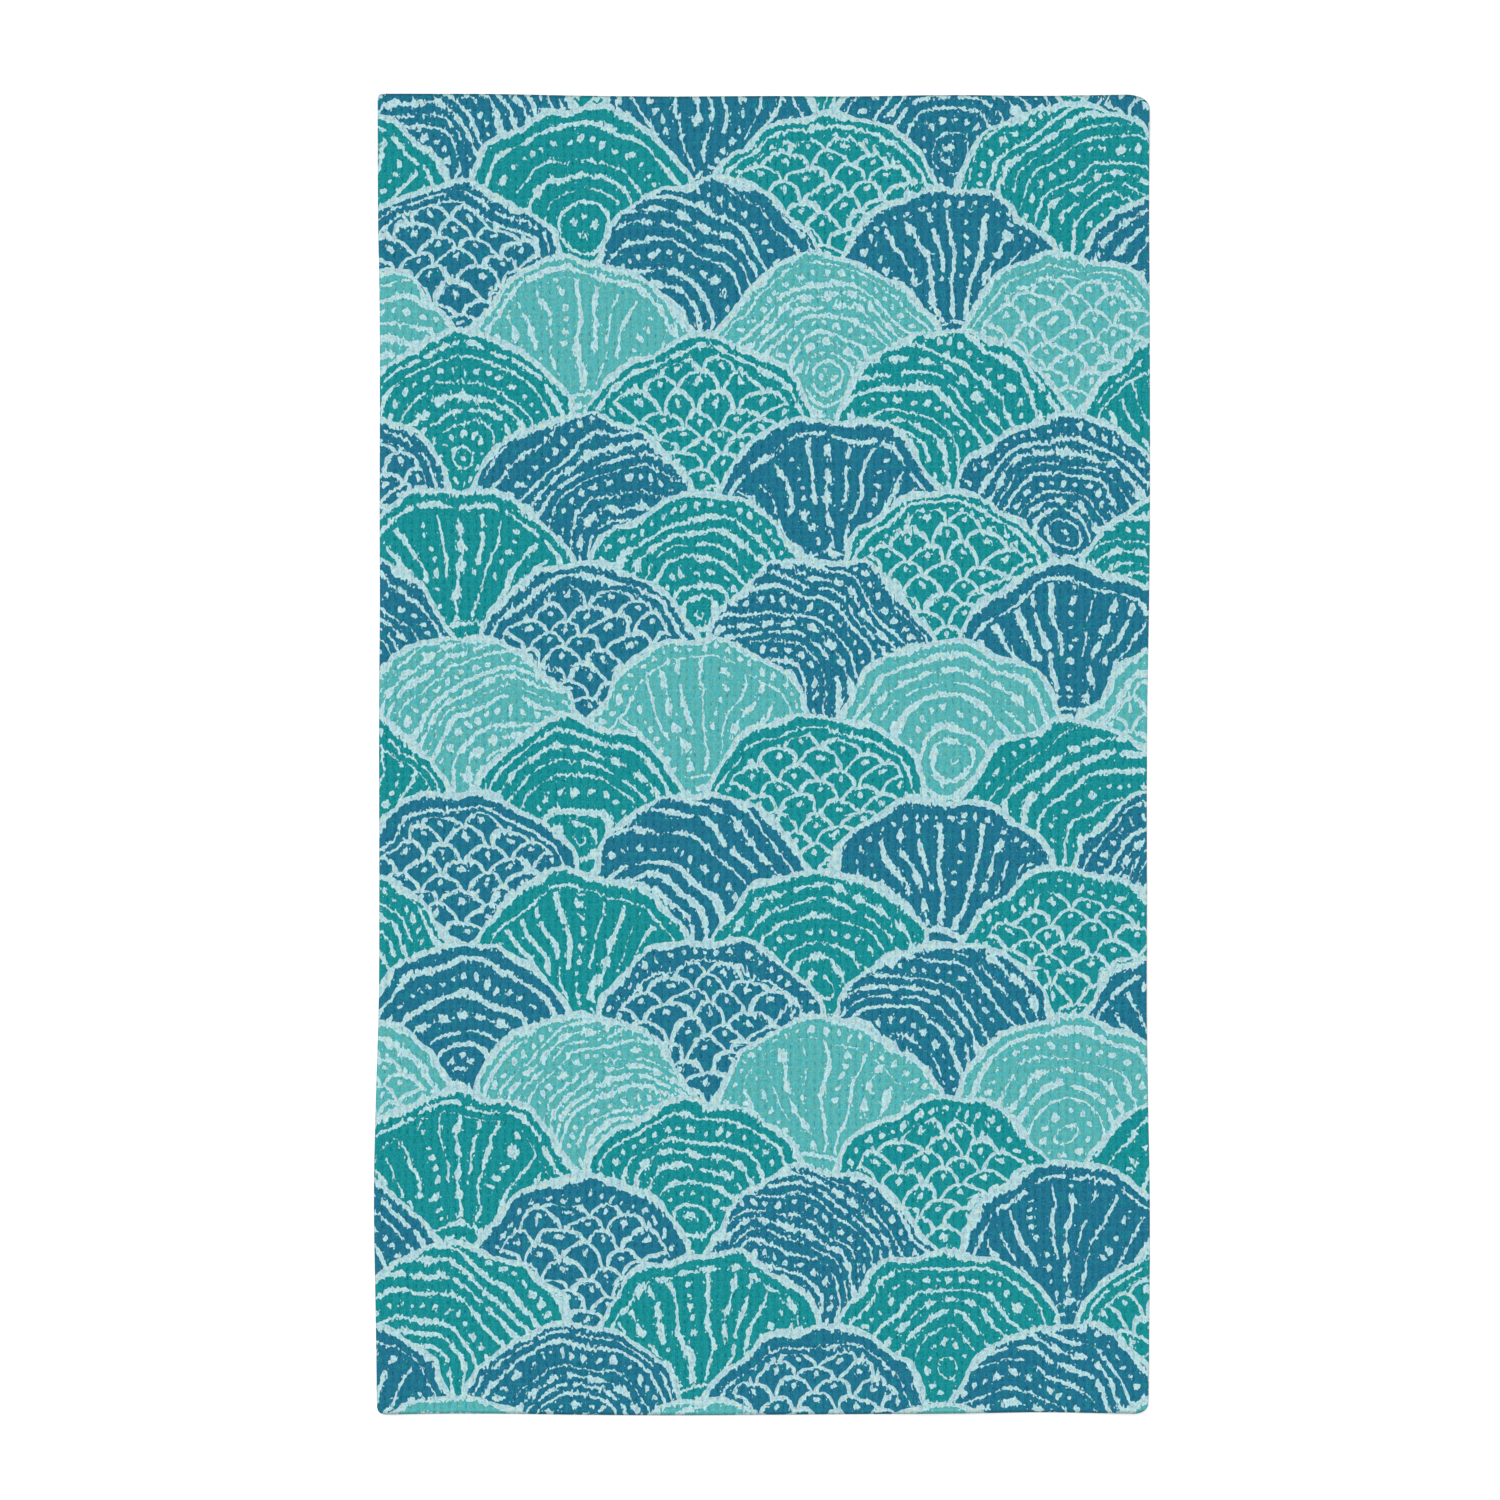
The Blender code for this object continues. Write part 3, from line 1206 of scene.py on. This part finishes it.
        # Down the towel the motifs move on by two a row, and by one more every second row
        motif = (row * 2.0 + group.math("FLOOR", row / 2.0) - column).wrapped(float(len(Motif)))
        filled = depth > self.filling_starts
        slanted = group.same(motif, Motif.SLANTED_RINGS.value)
        side = (side_chance > 0.5) * 2.0 - 1.0
        coarseness = step_chance * self.coarse_spread + self.least_coarse
        further = slanted * (chance * self.stroke_step + self.slant_reach)
        rings = self.rings(
            group,
            across - slanted * side * self.slant_across,
            up + slanted * self.slant_down,
            further + (self.scallop.radius - self.outline / 2),
            coarseness * self.stroke_step,
        )
        in_fan = group.same(motif, Motif.FAN.value) * filled
        track = rings.or_where(in_fan, self.fan(group, across, up))
        in_aqua = group.same(band, self.bands.index(Band.AQUA))
        feeds = {
            "Number": track.number,
            "Beside": track.beside,
            "Along": track.along,
            "Scallop": chance,
            "Boldness": coarseness * (in_aqua * self.aqua_boldness + 1.0),
            "Point": group.point,
        }
        stroke = group.use(self.strokes.group(), feeds)["Distance"]
        in_scales = group.same(motif, Motif.SCALES.value) * filled
        inner = group.pick(in_scales, stroke, self.scales(group, row_tree, across, up))

        rim = depth - (group.sway(self.outline_sway) + self.outline)
        crumbs = group.ramp(group.sway(self.crumbs), *self.crumb_span) * self.crumb_size
        ragged = group.sway(self.fray) - crumbs - group.given["Nap"] * self.nap_reach
        distance = group.least(inner, rim) + ragged
        drawing = group.ramp(distance, self.softness, -self.softness)
        edge = group.ramp(distance, *self.edge_span) * drawing
        close = group.ramp(distance, *self.close_span) * (1.0 - drawing)
        return group.give(Band=band, Drawing=drawing, Edge=edge, Beside_drawing=close)


def matt_material(name: str, roughness: float) -> tuple[Material, Node]:
    """Starts a matt material.

    Args:
        name: The material's name.
        roughness: How matt it is.

    Returns:
        The material and its shader.
    """
    material = bpy.data.materials.new(name)
    material.use_nodes = True
    shader = material.node_tree.nodes["Principled BSDF"]
    Wiring(material.node_tree).feed(shader, {"Roughness": roughness, **MATT})
    return material, shader


class Face(Wiring):
    """The tree of one face's material, with the place in mm, the threads and the shade ready."""

    def __init__(self, tree: NodeTree, threads: NodeTree, shade: NodeTree) -> None:
        """Starts on a material's tree.

        Args:
            tree: The material's tree.
            threads: The group of the threads.
            shade: The group of the waffle's shade.
        """
        super().__init__(tree)
        uv = self.wire("ShaderNodeUVMap", uv_map=CLOTH_UV)
        self.point = self.vector_math("MULTIPLY", uv, (1 / MM, 1 / MM, 0.0))
        self.threads = self.use(threads, {"Point": self.point})
        self.shade = self.use(shade, {"Point": self.point})["Shade"]


@dataclass(frozen=True, kw_only=True)
class Cotton:
    """Matt waffle cotton. Each of the towel's two faces works out its own colour."""

    threads: NodeTree
    shade: NodeTree
    name: str
    roughness: float
    thread_strength: float = 0.8
    thread_rise: float = 0.09 * MM

    def colour(self, face: Face) -> Wire:
        """The face's colour."""
        raise NotImplementedError

    def material(self) -> Material:
        """Builds the material.

        Returns:
            The material.
        """
        material, shader = matt_material(self.name, self.roughness)
        face = Face(material.node_tree, self.threads, self.shade)
        height = face.threads["Height"]
        bump = {"Strength": self.thread_strength, "Distance": self.thread_rise, "Height": height}
        face.feed(shader, {"Base Color": self.colour(face), "Normal": face.wire("ShaderNodeBump", bump)})
        return material


@dataclass(frozen=True, kw_only=True)
class PlainCotton(Cotton):
    """The towel's plain, undyed underside."""

    name: str = "plain_cotton"
    roughness: float = 0.93
    undyed: Rgb = (224, 226, 220)
    tone_share: float = 0.06
    shade_share: float = 0.07

    def colour(self, face: Face) -> Wire:
        """Undyed cotton, with the threads' tone and the waffle's shade."""
        level = face.threads["Tone"] * self.tone_share - face.shade * self.shade_share + 1.0
        return face.paint(1.0, linear(*self.undyed), face.join(level, level, level), "MULTIPLY")


@dataclass(frozen=True, kw_only=True)
class PrintedCotton(Cotton):
    """The towel's printed face: coloured bands under a pale drawing, on waffle cotton.

    Where there are two shares, the first is for the ground and the second for the drawing.
    """

    rim: NodeTree
    scallops: Scallops
    name: str = "printed_cotton"
    roughness: float = 0.9
    light_level: float = 1.1
    gloss: float = 0.009
    level: float = 1.08
    tone_shares: tuple[float, float] = (0.14, 0.1)
    shade_share: float = 0.165
    beside_share: float = 0.07
    warmth: Sway = Sway(2.4, 2.8, 37)
    warmth_shares: tuple[float, float] = (0.2, 0.07)
    blue_share: float = 0.3
    # The painted highlight on the ridges: the level where it starts, and its strength
    wear_start: float = 0.85
    wear: float = 0.035
    rim_depth: float = 0.4
    patches: Tint = Tint(Sway(8, 5, 35), (0.3, 1.3), 0.3, Band.TEAL.value)
    pale: Rgb = (184, 224, 229)
    mottle: Tint = Tint(Sway(1.3, 2.2, 32), (-0.9, 1.1), 1.0, (160, 203, 211))
    lilac: Tint = Tint(Sway(2.1, 2.6, 34), (-0.2, 0.8), 0.6, (187, 208, 221))
    cream: Tint = Tint(Sway(3.6, 2.6, 36), (0.1, 0.9), 0.7, (195, 225, 215))
    specks: Tint = Tint(Sway(0.9, 1.1, 33), (0.95, 1.3), 0.85, (140, 172, 180))
    pale_edge: Rgb = (192, 233, 238)
    edge_share: float = 0.7

    def ink(self, colour: Rgb) -> tuple[float, float, float, float]:
        """A colour that looks as named under the studio's light, with the threads' own gloss on it."""
        red, green, blue, _ = (max(part / self.light_level - self.gloss, 0.0) for part in linear(*colour))
        return red, green, blue, 1.0

    def tinted(self, face: Face, colour: Feed, tint: Tint) -> Wire:
        """Lays one tint's patches over a colour."""
        mask = face.ramp(face.sway(tint.sway), *tint.span) * tint.share
        return face.paint(mask, colour, self.ink(tint.colour))

    def colour(self, face: Face) -> Wire:
        """The print, with the threads' tone, the waffle's painted shade, a painted highlight on the
        ridges and painted shade at the rim.

        Args:
            face: The material's tree.

        Returns:
            The colour.
        """
        drawn = face.use(self.scallops.group(), {"Point": face.point, "Nap": face.threads["Nap"]})
        drawing = drawn["Drawing"]
        ground, pale = self.ground(face, drawn["Band"]), self.pale_ink(face, drawn["Edge"])
        level = face.threads["Tone"] * face.pick(drawing, *self.tone_shares) + self.level
        level = level - face.shade * self.shade_share - drawn["Beside drawing"] * self.beside_share
        warmth = face.sway(self.warmth) * face.pick(drawing, *self.warmth_shares)
        levels = face.join(level * (warmth + 1.0), level, level * (1.0 - warmth * self.blue_share))
        colour = face.paint(1.0, face.paint(drawing, ground, pale), levels, "MULTIPLY")
        # Painted highlight: whiter where the level is high, mostly on the ridges and where the threads'
        # tone is light
        colour = face.paint(face.most(level - self.wear_start, 0.0) * self.wear, colour, WHITE)
        rim = face.use(self.rim, {"Point": face.point})["Shade"]
        return face.paint(rim * self.rim_depth, colour, BLACK)

    def ground(self, face: Face, band: Wire) -> Feed:
        """The bands' colours, the blue one with faint teal patches.

        Args:
            face: The material's tree.
            band: The band's number.

        Returns:
            The colour.
        """
        inks: dict[Band, Feed] = {kind: self.ink(kind.value) for kind in Band}
        inks[Band.BLUE] = self.tinted(face, inks[Band.BLUE], self.patches)
        colour, *others = (inks[kind] for kind in self.scallops.bands)
        for number, other in enumerate(others):
            colour = face.paint(band > number + 0.5, colour, other)
        return colour

    def pale_ink(self, face: Face, edge: Wire) -> Wire:
        """The pale drawing's colour, mottled inside and lighter along its edges.

        Args:
            face: The material's tree.
            edge: The mask of its edges.

        Returns:
            The colour.
        """
        colour: Feed = self.ink(self.pale)
        for tint in (self.mottle, self.lilac, self.cream, self.specks):
            colour = self.tinted(face, colour, tint)
        return face.paint(edge * self.edge_share, colour, self.ink(self.pale_edge))


@dataclass(frozen=True)
class Studio:
    """A pale floor, soft light from above and a camera that looks straight down."""

    cloth_top: float
    frame_px: int = 1500
    metres_a_px: float = 0.5268 * MM
    towel_middle_px: tuple[float, float] = (762.068, 754.537)
    lens_mm: float = 100.0
    sensor_mm: float = 36.0
    floor_size: float = 12.0
    floor_gap: float = 0.2 * MM
    floor_white: float = 0.99
    floor_roughness: float = 0.95
    sky_level: float = 0.9
    sun_level: float = 1.27
    sun_tilt_deg: tuple[float, float] = (-28.0, -14.0)
    sun_spread_deg: float = 50.0

    def build(self) -> None:
        """Makes the floor, the lights and the camera."""
        for make in (self.floor, self.sky, self.sun, self.camera):
            make()

    def floor(self) -> None:
        """A plain pale floor just under the cloth."""
        half = self.floor_size / 2
        corners = [(-half, -half), (half, -half), (half, half), (-half, half)]
        mesh = bpy.data.meshes.new("floor")
        mesh.from_pydata([(x, y, -self.floor_gap) for x, y in corners], [], [(0, 1, 2, 3)])
        floor = bpy.data.objects.new("floor", mesh)
        bpy.context.scene.collection.objects.link(floor)
        material, shader = matt_material("pale_floor", self.floor_roughness)
        shader.inputs["Base Color"].default_value = (*[self.floor_white] * 3, 1.0)
        mesh.materials.append(material)

    def sky(self) -> None:
        """An even white surround."""
        world = bpy.data.worlds.new("studio")
        world.use_nodes = True
        background = world.node_tree.nodes["Background"]
        background.inputs["Color"].default_value = WHITE
        background.inputs["Strength"].default_value = self.sky_level
        bpy.context.scene.world = world

    def sun(self) -> None:
        """A broad soft light from beyond the towel's upper left."""
        lamp = bpy.data.lights.new("soft_light", "SUN")
        lamp.energy = self.sun_level
        lamp.angle = math.radians(self.sun_spread_deg)
        sun = bpy.data.objects.new("soft_light", lamp)
        sun.rotation_euler = (*map(math.radians, self.sun_tilt_deg), 0.0)
        bpy.context.scene.collection.objects.link(sun)

    def camera(self) -> None:
        """A camera straight above, with the towel at its place in the photograph."""
        lens = bpy.data.cameras.new("camera")
        lens.lens = self.lens_mm
        lens.sensor_width = self.sensor_mm
        camera = bpy.data.objects.new("camera", lens)
        right_px, down_px = (middle - self.frame_px / 2 for middle in self.towel_middle_px)
        camera.location = (
            CAD_MIDDLE[0] - right_px * self.metres_a_px,
            CAD_MIDDLE[1] + down_px * self.metres_a_px,
            self.cloth_top + self.frame_px * self.metres_a_px * self.lens_mm / self.sensor_mm,
        )
        bpy.context.scene.collection.objects.link(camera)
        bpy.context.scene.camera = camera
        bpy.context.scene.view_settings.view_transform = "Standard"


def main() -> None:
    """Builds the towel, then the studio around it."""
    logging.basicConfig(level=logging.INFO, format="%(name)s: %(message)s")
    outline = Outline()
    waffle = Waffle(outline)
    threads = Threads(waffle).group()
    shade = CellShade(waffle).group()
    rim = RimShade(outline).group()
    printed = PrintedCotton(threads=threads, shade=shade, rim=rim, scallops=Scallops()).material()
    plain = PlainCotton(threads=threads, shade=shade).material()
    cloth = Cloth(outline, waffle).build(printed, plain)
    log.info("%s: %d points, %d faces", cloth.name, len(cloth.data.vertices), len(cloth.data.polygons))
    Studio(cloth_top=waffle.thickness).build()
    log.info("floor, light and camera are in place")


if __name__ == "__main__":
    main()
